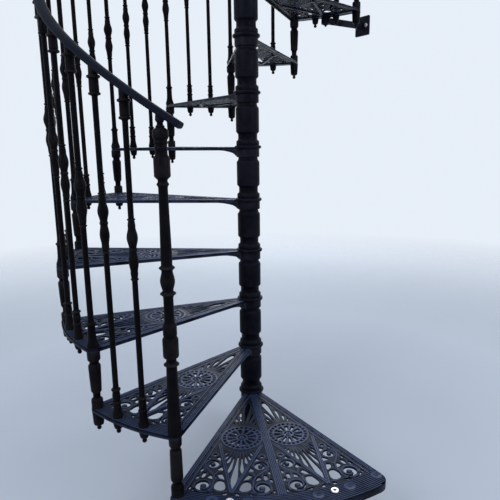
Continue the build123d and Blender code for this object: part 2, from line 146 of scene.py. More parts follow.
def dust_and_sky_sheen_group():
    """Mask of the faces that look upwards, where dust lies and a painted sky sheen lightens them.
    """
    numbers = {"Spread": 0.4, "Patch Scale": 22.0}
    tree, given, result = new_tree("Dust And Sky Sheen", "Shader", numbers, ["Mask"])
    normal = tree.nodes.new("ShaderNodeNewGeometry").outputs["Normal"]
    split = add(tree, "ShaderNodeSeparateXYZ", Vector=normal)
    patches = noise(tree, object_space(tree), given["Patch Scale"], 5.0, 0.65)
    patches = remap(tree, patches, 0.2, 0.75, 0.35, 1.0)
    upward = math_of(tree, "SUBTRACT", split.outputs["Z"], given["Spread"])
    mask = math_of(tree, "MULTIPLY", remap(tree, upward, 0.0, 0.5), patches)
    wire(tree, result, Mask=mask)
    return tree


def polish_and_sheen_group():
    """Mask of the crowns within a millimetre or so of a tread's top, where shoes polish the paint
    and a painted blue sheen lies.
    """
    numbers = {"Rise": 0.2, "Depth": 0.0014}
    tree, given, result = new_tree("Shoe Polish And Sheen", "Shader", numbers, ["Mask"])
    where = object_space(tree)
    split = add(tree, "ShaderNodeSeparateXYZ", Vector=where)
    half = math_of(tree, "MULTIPLY", given["Rise"], 0.5)
    shifted = math_of(tree, "ADD", split.outputs["Z"], half)
    above = math_of(tree, "FLOORED_MODULO", shifted, given["Rise"])
    height = math_of(tree, "SUBTRACT", above, half)
    crown = remap(tree, math_of(tree, "DIVIDE", height, given["Depth"]), -1.0, 0.0)
    worn_and_sheen = remap(tree, noise(tree, where, 16.0, 4.0, 0.6), 0.3, 0.6, 0.5)
    wire(tree, result, Mask=math_of(tree, "MULTIPLY", crown, worn_and_sheen))
    return tree


SAND_CAST = sand_cast_group()
RUBBED_EDGE_AND_HIGHLIGHT = rubbed_edge_and_highlight_group()
DUST_AND_SKY_SHEEN = dust_and_sky_sheen_group()
POLISH_AND_SHEEN = polish_and_sheen_group()
COOL_SHEEN = (0.56, 0.69, 1.0, 1)


def effect(tree, group):
    """Outputs of a shared node group put into a material."""
    node = tree.nodes.new("ShaderNodeGroup")
    node.node_tree = group
    return node.outputs


def new_material(name):
    """Material with its node tree and its Principled node."""
    material = bpy.data.materials.new(name)
    material.use_nodes = True
    tree = material.node_tree
    return material, tree, tree.nodes["Principled BSDF"]


def painted_iron(name, paint, bare_and_highlight, dust_and_sheen, dust_and_sheen_share, roughness, sheen, polish_and_sheen=None):
    """Black paint on cast iron, thin on the edges and dusty on top, with a painted highlight on
    the edges, a painted sky sheen on upward faces and, where given, a painted sheen on polished
    crowns.
    """
    material, tree, shader = new_material(name)
    skin = effect(tree, SAND_CAST)
    darker = tuple(0.6 * value for value in paint[:3]) + (1.0,)
    colour = blend_colours(tree, skin["Mottle"], darker, paint)
    # Lighter, bluish colour on the edges and crowns: rubbed paint and a painted highlight.
    colour = blend_colours(tree, effect(tree, RUBBED_EDGE_AND_HIGHLIGHT)["Mask"], colour, bare_and_highlight)
    # Paler, bluer colour on the upward faces: dust and a painted sky sheen.
    dust_and_sheen_layer = math_of(tree, "MULTIPLY", effect(tree, DUST_AND_SKY_SHEEN)["Mask"], dust_and_sheen_share)
    colour = blend_colours(tree, dust_and_sheen_layer, colour, dust_and_sheen)
    rough = remap(tree, skin["Mottle"], 0.0, 1.0, roughness - 0.06, roughness + 0.08)
    rough = math_of(tree, "MULTIPLY_ADD", dust_and_sheen_layer, 0.35, rough)
    if polish_and_sheen:
        # Bright blue colour on the tread crowns: shoe polish and a painted sheen.
        worn_and_sheen = effect(tree, POLISH_AND_SHEEN)["Mask"]
        colour = blend_colours(tree, worn_and_sheen, colour, polish_and_sheen)
        rough = math_of(tree, "MULTIPLY_ADD", worn_and_sheen, -0.18, rough)
    bump = add(tree, "ShaderNodeBump", Strength=0.35, Distance=0.0006, Height=skin["Height"])
    wire(tree, shader, Base_Color=colour, Roughness=rough, Normal=bump.outputs["Normal"])
    wire(tree, shader, Specular_IOR_Level=sheen, Specular_Tint=COOL_SHEEN)
    return material


# Column paint: its bare colour is also a painted highlight on the edges, its dust colour also a
# painted sky sheen on upward faces.
COLUMN_PAINT = painted_iron(
    "column_paint",
    paint=(0.0036, 0.0036, 0.0062, 1),
    bare_and_highlight=(0.013, 0.013, 0.020, 1),
    dust_and_sheen=(0.050, 0.052, 0.075, 1),
    dust_and_sheen_share=0.20,
    roughness=0.42,
    sheen=0.045,
)


def zinc_plate():
    """Bright zinc plating of nuts and washers, with faint spangles."""
    material, tree, shader = new_material("zinc_plate")
    spangle = noise(tree, object_space(tree), 260.0, 3.0)
    colour = blend_colours(tree, spangle, (0.55, 0.56, 0.58, 1), (0.82, 0.83, 0.85, 1))
    rough = remap(tree, spangle, 0.3, 0.7, 0.28, 0.42)
    wire(tree, shader, Base_Color=colour, Roughness=rough, Metallic=0.85)
    return material


ZINC = zinc_plate()


def around(radius, degrees, x=0.0, y=0.0):
    """Plan point at a radius in mm and an angle about a centre."""
    turn = math.radians(degrees)
    return x + radius * math.cos(turn), y + radius * math.sin(turn)


def circle(x, y, radius, sides=8):
    """Closed round plan path about a point."""
    return [around(radius, 360 * i / sides, x, y) for i in range(sides)]


def skinned(rings, closed=False):
    """Form through rings of points in mm, capped unless it closes on itself."""
    size = len(rings[0])
    count = len(rings)
    faces = []
    for i in range(count if closed else count - 1):
        low = i * size
        high = (i + 1) % count * size
        for j in range(size):
            k = (j + 1) % size
            faces.append((low + j, low + k, high + k, high + j))
    if not closed:
        last = (count - 1) * size
        faces.append(tuple(reversed(range(size))))
        faces.append(tuple(range(last, last + size)))
    return [(x * MM, y * MM, z * MM) for ring in rings for x, y, z in ring], faces


def turned(profile, segments, x=0.0, y=0.0, z=0.0):
    """Turned form from (height, radius) pairs in mm, going up."""
    rings = []
    for height, radius in profile:
        rings.append([(px, py, z + height) for px, py in circle(x, y, radius, segments)])
    return skinned(rings)


def bead(height, half, base, crown, steps=6):
    """Profile points of a rounded ring round a turned form."""
    swings = [math.pi * i / steps for i in range(steps + 1)]
    return [(height - half * math.cos(a), base + (crown - base) * math.sin(a)) for a in swings]


def swell(low, high, base, crown, steps=8):
    """Profile points of a long, soft swelling."""
    points = []
    for i in range(steps + 1):
        share = i / steps
        radius = base + (crown - base) * math.sin(math.pi * share) ** 1.4
        points.append((low + (high - low) * share, radius))
    return points


SHARP_ANGLE = 38.0


def smoothed(mesh, sharp=SHARP_ANGLE):
    """Same mesh, smooth but for the edges that turn by more than an angle."""
    for face in mesh.polygons:
        face.use_smooth = True
    mesh.set_sharp_from_angle(angle=math.radians(sharp))
    return mesh


def mesh_of(name, shapes):
    """One closed mesh from shapes of points and faces, its faces outwards."""
    builder = bmesh.new()
    for points, faces in shapes:
        corners = [builder.verts.new(point) for point in points]
        for face in faces:
            builder.faces.new([corners[i] for i in face])
    bmesh.ops.remove_doubles(builder, verts=builder.verts, dist=1e-6)
    bmesh.ops.recalc_face_normals(builder, faces=builder.faces)
    mesh = bpy.data.meshes.new(name)
    builder.to_mesh(mesh)
    builder.free()
    return smoothed(mesh)


def moved(mesh, x, y, z, degrees=0.0):
    """Same mesh, turned about the upright axis and set at a place in mm."""
    turn = Matrix.Rotation(math.radians(degrees), 4, "Z")
    mesh.transform(Matrix.Translation((x * MM, y * MM, z * MM)) @ turn)
    return mesh


def new_object(name, data):
    """Object from a mesh, curve, lamp or camera, put into the scene."""
    made = bpy.data.objects.new(name, data)
    bpy.context.scene.collection.objects.link(made)
    return made


def place(name, mesh, material, *nodes, slot="iron"):
    """Piece on the stair's one body; without a material the mesh keeps its own."""
    if material:
        mesh.materials.clear()
        mesh.materials.append(material)
    piece = new_object(name, mesh)
    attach(piece, "root")
    if nodes:
        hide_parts(*nodes)


COLUMN_SEGMENTS = 48
FLANGE = [(0, 108.5), (11, 108.5), (14, 107.5), (15.5, 105), (16, 101), (16, 66)]
FLANGE += [(18, 61.5), (22, 57), (28, 52.5), (31, 50.8)]
FLANGE += bead(36, 5, 48, 51.4)
FLANGE += [(43, 45.6), (47, 43.9), (144, 43.9), (147, 43.2), (150, 41)]
FLANGE += [(153, 38.6), (156, 37.4), (163, 37.2)]
flange_mesh = mesh_of("base_flange", [turned(FLANGE, COLUMN_SEGMENTS)])
place("base_flange_casting", flange_mesh, COLUMN_PAINT, "base_flange")

ANCHOR_CIRCLE = 85.0
ANCHOR_NUT = [(16, 13), (18.5, 13), (18.5, 10.5), (25, 10.5), (27, 9), (30, 8), (33, 5), (34, 1)]
anchors = []
for angle in (45, 135, 225, 315):
    anchors.append(turned(ANCHOR_NUT, 12, *around(ANCHOR_CIRCLE, angle)))
place("anchor_nuts", mesh_of("anchor_nuts", anchors), ZINC, slot="pole")


# Centre pole: a steel tube that every casting of the column is threaded on.
# It shows only through the joints, so its CAD tube stays and is painted.
pole_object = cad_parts["centre_pole"]
for pole_slot in pole_object.material_slots:
    pole_slot.material = COLUMN_PAINT


# Column spacers: eleven turned cast sleeves between the hubs of the treads.
# Each starts with the bead that crowns the hub below and ends under the next.
COLLAR = bead(0, 6.4, 45.5, 51.4, 8)
COLLAR += [(7, 43.2), (9, 43.8), (20.5, 43.8), (23, 42.8), (26, 39.2), (28.5, 37.2)]
COLLAR += [(31, 36.5), (47, 36.4), (50, 37.6), (54, 41.2), (57, 43.6)]
SPACER = COLLAR + [(59, 43.9), (142, 43.9), (145, 43.4), (148, 41.4)]
SPACER += [(152, 38.4), (155, 37.3), (163, 37.1)]


def finish_tree(tree, given, result, made):
    """Make what is given real, give it the finish and put it out."""
    real = add(tree, "GeometryNodeRealizeInstances", Geometry=made)
    paint = add(tree, "GeometryNodeSetMaterial", Geometry=real.outputs[0])
    wire(tree, paint, Material=given["Finish"])
    wire(tree, result, Geometry=paint.outputs[0])
    return tree


def stand_copies(tree, given, result, points, **turn):
    """Stand copies of the given piece on points and finish the tree."""
    piece = given["Geometry"]
    copies = add(tree, "GeometryNodeInstanceOnPoints", Points=points, Instance=piece, **turn)
    return finish_tree(tree, given, result, copies.outputs[0])


def repeat_tree():
    """Geometry nodes that stand copies of a piece one rise above each other."""
    tree, given, result = new_tree("Up The Column", "Geometry", {"Count": 11, "Rise": 0.2})
    step = add(tree, "ShaderNodeCombineXYZ", Z=given["Rise"])
    line = add(tree, "GeometryNodeMeshLine", Count=given["Count"], Offset=step.outputs[0])
    return stand_copies(tree, given, result, line.outputs[0])


def plain_mesh(worker):
    """Mesh that an object's curve or node tree makes; the object is removed."""
    graph = bpy.context.evaluated_depsgraph_get()
    mesh = bpy.data.meshes.new_from_object(worker.evaluated_get(graph))
    bpy.data.objects.remove(worker)
    return mesh


def through_nodes(name, mesh, tree, values, sharp=SHARP_ANGLE):
    """Plain mesh that a node tree makes from a mesh and named input values."""
    worker = new_object(name, mesh)
    modifier = worker.modifiers.new("Layout", "NODES")
    modifier.node_group = tree
    for item in tree.interface.items_tree:
        if item.name in values:
            modifier[item.identifier] = values[item.name]
    return smoothed(plain_mesh(worker), sharp)


spacer_mesh = moved(mesh_of("spacer", [turned(SPACER, COLUMN_SEGMENTS)]), 0, 0, RISE)
spacer_values = {"Count": 11, "Rise": RISE * MM, "Finish": COLUMN_PAINT}
spacers_mesh = through_nodes("spacers", spacer_mesh, repeat_tree(), spacer_values)
place("column_sleeves", spacers_mesh, COLUMN_PAINT, "column_spacers")


# Column finial: a turned cap post over the top of the pole, at rail height,
# with the same bead and collar as the spacers and a ball on its neck.
TOP_PLATE = 12 * RISE
BALL_CENTRE = 830
BALL_HALF = 49
BALL_RADIUS = 49.6
BALL_STEPS = 16
FINIAL = COLLAR + [(64, 43.8), (660, 38.6), (700, 37.8), (716, 37.2)]
FINIAL += bead(734, 7, 44, 51.3, 8)
FINIAL += [(745, 38), (753, 28), (761, 24.5), (776, 23.5), (780, 26)]
for step in range(1, BALL_STEPS):
    swing = math.pi * step / BALL_STEPS
    height = BALL_CENTRE - BALL_HALF * math.cos(swing)
    FINIAL.append((height, BALL_RADIUS * math.sin(swing) ** 0.9))
FINIAL += [(879.5, 5), (880, 1)]
finial_mesh = mesh_of("finial", [turned(FINIAL, COLUMN_SEGMENTS, z=TOP_PLATE)])
place("column_cap_post", finial_mesh, COLUMN_PAINT, "column_finial")


# Treads: twelve pierced castings with a hub each, whose sides wear the same
# paint as the column. A rosette, two fans of rays, the ribs of a long V and
# scrolled panels lie in each width. The first and last are two widths wide.
STEP_ANGLE = 25.85
HALF_STEP = STEP_ANGLE / 2
NEWEL_ANGLE = -108.1
BALUSTER_CIRCLE = 704.0
NOSING_RADIUS = 724.0
END_NOSING_RADIUS = 748.0
SIDE_LAP = 18.0
CORNER_RADIUS = 20.0
END_CORNER_RADIUS = 38.0
BAND_RADIUS = 678.0
PLATE_TOP = -1.6
PLATE_LOW = -7.5
RIM_LOW = -12.0
SIDE_RIM = 6.0
SKIRT_LOW = -28.0
SKIRT_WALL = 7.0
HUB_LOW = -37.0
HUB_RADIUS = 43.9
RIB_START = 52
RIB_END = BAND_RADIUS + 2
ROSETTE_POS = 371.0
ROSETTE_OPEN = 70.0
V_START = 412.0
V_HALF = 73.0
V_TIP = 668.0
V_RIB_OFFSET = 3.1
REED_WIDTH = 4.8
REED_PITCH = 6.9
BOLT_HOLE = 8.0
EDGE_HOLE = 4.3
EDGE_HOLES_AT = range(150, 651, 50)


def step_angle(index):
    """Plan angle of a place on the stair, counted in treads."""
    return NEWEL_ANGLE - (index - 1.5) * STEP_ANGLE


def turned_plan(points, degrees):
    """Plan points turned about the column."""
    c, s = around(1, degrees)
    return [(x * c - y * s, x * s + y * c) for x, y in points]


def tread_outline(half, radius, lap, corner):
    """Plan of a tread in mm: rounded corner, curved nosing, corner, hub end."""
    inner = math.sqrt((radius - corner) ** 2 - (lap - corner) ** 2)
    cx, cy = turned_plan([(inner, lap - corner)], half)[0]
    lean = math.degrees(math.atan2(cy, cx))
    bend = half + 90
    rounding = [around(corner, bend + (lean - bend) * i / 6, cx, cy) for i in range(7)]
    steps = 2 * max(4, round(half))
    nosing = [around(radius, lean - 2 * lean * i / steps) for i in range(1, steps)]
    mirrored = [(x, -y) for x, y in reversed(rounding)]
    apex = lap / math.cos(math.radians(half))
    return rounding + nosing + mirrored + [(0, -apex), (0, apex)]


def ray(direction, start, end, width):
    """Leaf-shaped slot that points out from the rosette, widest near its end."""
    leaf = [(0.0, 0.16), (0.25, 0.42), (0.5, 0.78), (0.7, 1.0), (0.86, 0.72)]
    edge = [(start + (end - start) * share, full * width / 2) for share, full in leaf]
    edge += [(end, 0.0)] + [(run, -off) for run, off in reversed(edge)]
    return [(ROSETTE_POS + x, y) for x, y in turned_plan(edge, direction)]


HUB_RAYS = [(0, 112, 258, 22), (7.6, 102, 176, 11), (15.2, 92, 134, 9), (23, 88, 108, 7)]
TIP_RAYS = [(0, 112, 276, 21), (6.2, 118, 203, 12), (12, 110, 154, 10.5)]
TIP_RAYS += [(18, 106, 135, 8.5), (24.2, 92, 114, 8), (30.4, 88, 101, 6)]
PANEL_HOLES = [
    [(489, 93), (497, 90), (505, 95), (513, 104), (505, 107), (494, 101)],
    [(486, 61), (492, 69), (499, 72), (506, 65), (508, 55), (497, 57)],
    [(538, 47), (548, 42), (559, 40), (561, 47), (559, 56), (552, 59), (545, 54)],
    [(574, 42), (584, 36), (602, 29), (607, 33), (600, 44), (588, 53), (578, 53)],
    [(583, 65), (592, 58), (602, 57), (606, 62), (603, 74), (598, 84), (589, 83), (582, 76)],
    [(573, 92), (582, 91), (594, 93), (600, 98), (596, 104), (584, 104), (574, 100)],
    [(606, 38), (612, 30), (625, 25), (643, 21), (654, 24), (658, 34), (655, 47)]
    + [(647, 56), (636, 58), (622, 56), (610, 50)],
    [(664, 54), (668, 50), (672, 60), (672, 74), (669, 84), (664, 80), (663, 68)],
    [(666, 94), (671, 96), (668, 108), (660, 121), (654, 122), (653, 116), (660, 107)],
    [(662, 15), (670, 12), (676, 14), (677, 24), (671, 26), (663, 22)],
    [(550, 106), (558, 103), (568, 105), (570, 111), (560, 112)],
    [(590, 111), (598, 110), (604, 114), (607, 121), (600, 121), (592, 117)],
    [(642, 127), (650, 125), (657, 128), (654, 133), (646, 131)],
]
FANS = ((180, HUB_RAYS), (0, TIP_RAYS))
LARGE_SCROLL = (637, 90)
SMALL_SCROLL = (529, 77)
CURL = (479, 78)


def width_holes():
    """Open shapes of one tread width, on its own centre line."""
    holes = [circle(ROSETTE_POS, 0, ROSETTE_OPEN, 40)]
    for base, fan in FANS:
        for angle, start, end, width in fan:
            for side in (-1, 1):
                if angle > 0 or side > 0:
                    holes.append(ray(base + side * angle, start, end, width))
    for side in (-1, 1):
        for hole in PANEL_HOLES:
            holes.append([(x, side * y) for x, y in hole])
        for (x, y), radius in ((LARGE_SCROLL, 25), (SMALL_SCROLL, 21.5), (CURL, 5.5)):
            holes.append(circle(x, side * y, radius, 20))
    return holes


def cut_plate(name, outlines, low, high, bevel=0.7):
    """Flat plate from closed plan outlines, the outer one first, then holes."""
    curve = bpy.data.curves.new(name, "CURVE")
    curve.dimensions = "2D"
    curve.fill_mode = "BOTH"
    curve.extrude = ((high - low) / 2 - bevel) * MM
    curve.bevel_depth = bevel * MM
    curve.bevel_resolution = 0
    curve.offset = -bevel * MM
    for outline in outlines:
        spline = curve.splines.new("POLY")
        spline.points.add(len(outline) - 1)
        for point, (x, y) in zip(spline.points, outline):
            point.co = (x * MM, y * MM, 0, 1)
        spline.use_cyclic_u = True
    return moved(plain_mesh(new_object(name, curve)), 0, 0, (low + high) / 2)


STRIP_SECTION = [(-1.0, 0.0), (-1.0, 0.55), (-0.5, 1.0), (0.5, 1.0), (1.0, 0.55), (1.0, 0.0)]


def moulding(path, widths, low, high, closed=False):
    """Raised strip along a plan path in mm, with a rounded crown."""
    after = path[1:] + (path[:1] if closed else path[-1:])
    before = (path[-1:] if closed else path[:1]) + path[:-1]
    rings = []
    for i, (x, y) in enumerate(path):
        dx = after[i][0] - before[i][0]
        dy = after[i][1] - before[i][1]
        length = math.hypot(dx, dy)
        half = (widths[i] if isinstance(widths, list) else widths) / 2
        ring = []
        for across, up in STRIP_SECTION:
            px = x - dy / length * half * across
            py = y + dx / length * half * across
            ring.append((px, py, low + (high - low) * up))
        rings.append(ring)
    return skinned(rings, closed)


def wound(x, y, radii, start, turns, steps=36):
    """Plan path that winds round a point through evenly spaced radii."""
    path = []
    for i in range(steps + 1):
        station = i / steps * (len(radii) - 1)
        low = min(int(station), len(radii) - 2)
        reach = radii[low] + (radii[low + 1] - radii[low]) * (station - low)
        path.append(around(reach, start + 360 * turns * i / steps, x, y))
    return path


def tapered(path, thick, thin):
    """Widths that swell along the middle of a path and thin to its ends."""
    count = len(path)
    swelling = [math.sin(math.pi * (i + 0.5) / count) ** 0.4 for i in range(count)]
    return [thin + (thick - thin) * share for share in swelling]


def scroll_shapes(side):
    """Cast scrolls that lie on the pierced panel on one side of the V."""
    large = wound(*LARGE_SCROLL, (28.5, 29, 28.5, 26, 18, 12), 250, 1.4)
    small = wound(*SMALL_SCROLL, (25, 25, 24.5, 22, 15, 9), 66, 1.35)
    link = [(552, 93), (570, 80), (585, 67), (606, 61)]
    heel = [(662, 60), (662, 76), (664, 90), (659, 106), (650, 119), (640, 123)]
    web = [(546, 104), (560, 96), (572, 107), (586, 109), (598, 106), (607, 110)]
    strips = [
        (small[::-1] + link + large, 9.8),
        ([(585, 66), (577, 60), (568, 56), (563, 49)], 8.6),
        ([(606, 62), (603, 52), (604, 40), (609, 30)], 6.0),
        ([(499, 97), (506, 88), (506, 76)], 7.0),
        ([(660, 12), (664, 24), (663, 38), (660, 50)], 6.0),
        (heel, 6.5),
        ([(607, 106), (604, 98), (597, 90), (586, 87), (572, 88)], 6.5),
        (web, 5.5),
    ]
    shapes = []
    for path, thick in strips:
        mirrored = [(x, side * y) for x, y in path]
        shapes.append(moulding(mirrored, tapered(path, thick, 4.0), PLATE_LOW, -0.6))
    curl = circle(CURL[0], side * CURL[1], 10, 20)
    shapes.append(moulding(curl, 8.0, PLATE_LOW, -0.6, closed=True))
    for x, y, radius in ((*LARGE_SCROLL, 9.5), (*SMALL_SCROLL, 8), (565, 48, 7), (611, 113, 8)):
        bulb = [(PLATE_LOW, radius), (-2.6, radius), (-1.0, radius * 0.75), (-0.4, radius * 0.3)]
        shapes.append(turned(bulb, 14, x, side * y))
    return shapes


def straight(start, end, width, low, high):
    """Straight raised strip between two plan points."""
    return moulding([start, end], width, low, high)


def wheel_tree():
    """Geometry nodes that set copies of a spoke round the rosette's centre."""
    numbers = {"Count": 24, "Centre": 0.371}
    tree, given, result = new_tree("Round The Rosette", "Geometry", numbers)
    centre = add(tree, "ShaderNodeCombineXYZ", X=given["Centre"])
    points = add(tree, "GeometryNodePoints", Count=given["Count"], Position=centre.outputs[0])
    index = tree.nodes.new("GeometryNodeInputIndex").outputs[0]
    share = math_of(tree, "DIVIDE", index, given["Count"])
    bearing = add(tree, "ShaderNodeCombineXYZ", Z=math_of(tree, "MULTIPLY", share, math.tau))
    return stand_copies(tree, given, result, points.outputs[0], Rotation=bearing.outputs[0])


# Tread paint: its bare colour is also a painted highlight on the edges, its dust colour also a
# painted sky sheen on upward faces, its polish colour also a painted blue sheen on the crowns.
TREAD_PAINT = painted_iron(
    "tread_paint",
    paint=(0.0020, 0.0028, 0.0060, 1),
    bare_and_highlight=(0.018, 0.023, 0.042, 1),
    dust_and_sheen=(0.013, 0.020, 0.042, 1),
    dust_and_sheen_share=0.22,
    roughness=0.44,
    sheen=0.13,
    polish_and_sheen=(0.044, 0.069, 0.160, 1),
)
WHEEL = wheel_tree()


def round_rosette(name, path, widths, count):
    """Copies of a raised strip set round the rosette."""
    strip = mesh_of(name, [moulding(path, widths, PLATE_LOW, -0.5)])
    values = {"Count": count, "Centre": ROSETTE_POS * MM, "Finish": TREAD_PAINT}
    return through_nodes(name, strip, WHEEL, values)


PETAL_PATH = [(15, 0), (26, 0), (38, 0), (52, 0)]
WHEEL_MESHES = [round_rosette("spokes", [(55, 0), (70, 0)], 9.4, 24)]
WHEEL_MESHES += [round_rosette("petals", PETAL_PATH, [6.4, 8.8, 12.4, 18.0], 12)]


def width_ornament():
    """Raised work of one tread width, all but its borders and band."""
    shapes = scroll_shapes(1) + scroll_shapes(-1)
    for radius, width in ((71.0, 9.2), (54.0, 9.4), (17.5, 8.6)):
        ring = circle(ROSETTE_POS, 0, radius, 44)
        shapes.append(moulding(ring, width, PLATE_LOW, -0.2, closed=True))
    button = [(PLATE_LOW, 9.5), (-1.5, 9.5), (0, 8.2), (0.6, 5), (0.2, 4), (-2.5, 3.4)]
    shapes.append(turned(button, 16, ROSETTE_POS, 0))
    run = V_TIP - V_START
    length = math.hypot(run, V_HALF)
    for side in (-1, 1):
        for offset in (-V_RIB_OFFSET, V_RIB_OFFSET):
            nx = V_HALF / length * offset
            ny = run / length * offset
            start = (V_START + nx, side * (V_HALF + ny))
            shapes.append(straight(start, (V_TIP + nx, side * ny), 5.2, PLATE_LOW, 0.4))
        web = straight((V_START, side * V_HALF), (V_TIP, 0), 11.6, RIM_LOW, PLATE_TOP + 0.3)
        shapes.append(web)
        for base, fan in FANS:
            for (low, _, near, _), (high, _, far, _) in zip(fan, fan[1:]):
                middle = base + side * (low + high) / 2
                start = around(88, middle, ROSETTE_POS)
                end = around((near + far) / 2 + 4, middle, ROSETTE_POS)
                shapes.append(straight(start, end, 2.6, PLATE_LOW, -0.2))
    return shapes


def border_shapes(half):
    """Reeded borders along both sides of a casting."""
    shapes = []
    for side in (-1, 1):
        for offset in (SIDE_LAP - 3.4, SIDE_LAP - 9.6, SIDE_LAP - 15.8, SIDE_LAP - 31):
            ends = [(RIB_START, side * offset), (RIB_END, side * offset)]
            shapes.append(straight(*turned_plan(ends, side * half), 4.4, PLATE_LOW, 0.3))
    return shapes


def flare_shape(half):
    """Swept bracket under the plate, from the hub out along the casting."""
    section = [(43, HUB_LOW), (46, -34), (52, -28), (62, -21.5), (80, -17), (100, -13.5)]
    section.append((122, -11.8))
    section += [(radius, PLATE_LOW + 2) for radius, _ in reversed(section)]
    columns = 14
    rings = []
    for i in range(columns + 1):
        ring = []
        for radius, height in section:
            reach = half + math.degrees(math.asin((SIDE_LAP - 0.5) / radius))
            ring.append((*around(radius, -reach + 2 * reach * i / columns), height))
        rings.append(ring)
    return skinned(rings)


def reed_reach(reed, half, radius, corner):
    """Angle at which a reed on a circle stops short of the side or corner."""
    middle = radius - corner
    if reed <= middle:
        return half + math.degrees(math.asin((SIDE_LAP - 4.5) / reed))
    lean = half + math.degrees(math.asin((SIDE_LAP - corner) / middle))
    room = (reed ** 2 + middle ** 2 - (corner - 3) ** 2) / (2 * reed * middle)
    return lean + math.degrees(math.acos(min(1.0, room)))


def reed_shapes(half, radius, corner):
    """Curved reeds along the band of the balusters, out to the nosing."""
    shapes = []
    steps = 10 * round(half / HALF_STEP)
    reed = BAND_RADIUS + 5
    while reed < radius - 2:
        lean = reed_reach(reed, half, radius, corner)
        path = [around(reed, -lean + 2 * lean * i / steps) for i in range(steps + 1)]
        shapes.append(moulding(path, REED_WIDTH, -4.0, -0.55))
        reed += REED_PITCH
    return shapes


BOSS_PAD = [(-7.4, 17.5), (-0.9, 17.5), (-0.1, 16.7), (-0.1, 14.8), (-0.5, 14.2), (-0.5, 8.2)]
BOSS_PAD += [(-1.2, 7.0), (-6.9, 6.6)]


def merged(name, meshes):
    """One mesh from several, with their smooth faces and sharp edges kept."""
    builder = bmesh.new()
    for mesh in meshes:
        builder.from_mesh(mesh)
    made = bpy.data.meshes.new(name)
    builder.to_mesh(made)
    builder.free()
    return made


def tread_mesh(widths, radius, corner):
    """Whole casting of one or two widths, plate top at height nought."""
    half = widths * HALF_STEP
    outline = tread_outline(half, radius, SIDE_LAP, corner)
    pocket = tread_outline(half, BAND_RADIUS, SIDE_LAP - SIDE_RIM, 2.0)
    holes = []
    ornament = []
    bolts = []
    for i in range(widths):
        turn = (i - (widths - 1) / 2) * STEP_ANGLE
        holes += [turned_plan(hole, turn) for hole in width_holes()]
        for source in [mesh_of("raised", width_ornament())] + WHEEL_MESHES:
            ornament.append(moved(source.copy(), 0, 0, 0, turn))
        bolts += [turn - STEP_ANGLE / 6, turn + STEP_ANGLE / 6]
    bolts += [-half, half]
    shapes = reed_shapes(half, radius, corner)
    for angle in bolts:
        x, y = around(BALUSTER_CIRCLE, angle)
        holes.append(circle(x, y, BOLT_HOLE, 12))
        shapes.append(turned(BOSS_PAD, 20, x, y))
    for side in (-1, 1):
        holes += [circle(*around(at, side * half), EDGE_HOLE) for at in EDGE_HOLES_AT]
    shapes += border_shapes(half)
    if widths > 1:
        for offset in (-11, -5.5, 0, 5.5, 11):
            ends = ((RIB_START, offset), (RIB_END, offset))
            shapes.append(straight(*ends, 4.9, PLATE_LOW, 0.7))
        shapes.append(straight((RIB_START, 0), (RIB_END, 0), 27, RIM_LOW, PLATE_TOP + 0.2))
    hub = [(HUB_LOW, 42.2), (HUB_LOW + 1.6, HUB_RADIUS), (-2, HUB_RADIUS), (-1, 43.4)]
    shapes.append(turned(hub, COLUMN_SEGMENTS))
    shapes.append(flare_shape(half))
    plate = cut_plate("plate", [outline] + holes, PLATE_LOW, PLATE_TOP)
    rim = cut_plate("rim", [outline, pocket], RIM_LOW, PLATE_TOP)
    parts = [plate, rim, mesh_of("edges", shapes)] + ornament
    if widths > 1:
        wall = SKIRT_WALL
        inside = tread_outline(half, radius - wall, SIDE_LAP - wall, corner - wall)
        skirt = outline[:-2] + inside[-3::-1]
        parts.append(cut_plate("skirt", [skirt], SKIRT_LOW, RIM_LOW + 4, 1.6))
    whole = smoothed(merged("tread", parts))
    whole.materials.append(TREAD_PAINT)
    whole.materials.append(COLUMN_PAINT)
    hub_limit = (HUB_RADIUS - 0.02) * MM
    for face in whole.polygons:
        face.material_index = int(math.hypot(face.center.x, face.center.y) < hub_limit)
    return whole


single_tread = tread_mesh(1, NOSING_RADIUS, CORNER_RADIUS)
double_tread = tread_mesh(2, END_NOSING_RADIUS, END_CORNER_RADIUS)
for level in range(1, 13):
    source = double_tread if level in (1, 12) else single_tread
    middle = {1: 0.5, 12: 12.5}.get(level, level)
    casting = moved(source.copy(), 0, 0, level * RISE, step_angle(middle))
    node_name = "tread_%02d" % level
    place("casting_of_" + node_name, casting, None, node_name)


# Fixing washers: pale washers with a sunk screw at the tips of the two Vs on
# the first tread, where it is held down while the others go on.
WASHER = [(-0.5, 12.2), (1.2, 12.2), (2.4, 11), (2.4, 5.4), (1.6, 4.6), (-0.2, 4.6)]
SCREW = [(-0.4, 4.5), (0.2, 4.4), (0.6, 3.4), (0.8, 1)]
washers = []
screws = []
for index in (0, 1):
    spot = around(BALUSTER_CIRCLE, step_angle(index))
    washers.append(turned(WASHER, 24, *spot, RISE))
    screws.append(turned(SCREW, 16, *spot, RISE + 0.4))
place("fixing_washers", mesh_of("fixing_washers", washers), ZINC, slot="pole")
place("fixing_screws", mesh_of("fixing_screws", screws), COLUMN_PAINT, slot="pole")


# Balusters: three turned cast uprights to each tread, two slim ones and a
# heavier one where two treads overlap, bolted through and pinned to the rail.
def on_circle(tree, angle, circle_radius, height):
    """Place at an angle on a circle about the column, at a height."""
    east = math_of(tree, "MULTIPLY", math_of(tree, "COSINE", angle), circle_radius)
    north = math_of(tree, "MULTIPLY", math_of(tree, "SINE", angle), circle_radius)
    return add(tree, "ShaderNodeCombineXYZ", X=east, Y=north, Z=height).outputs[0]


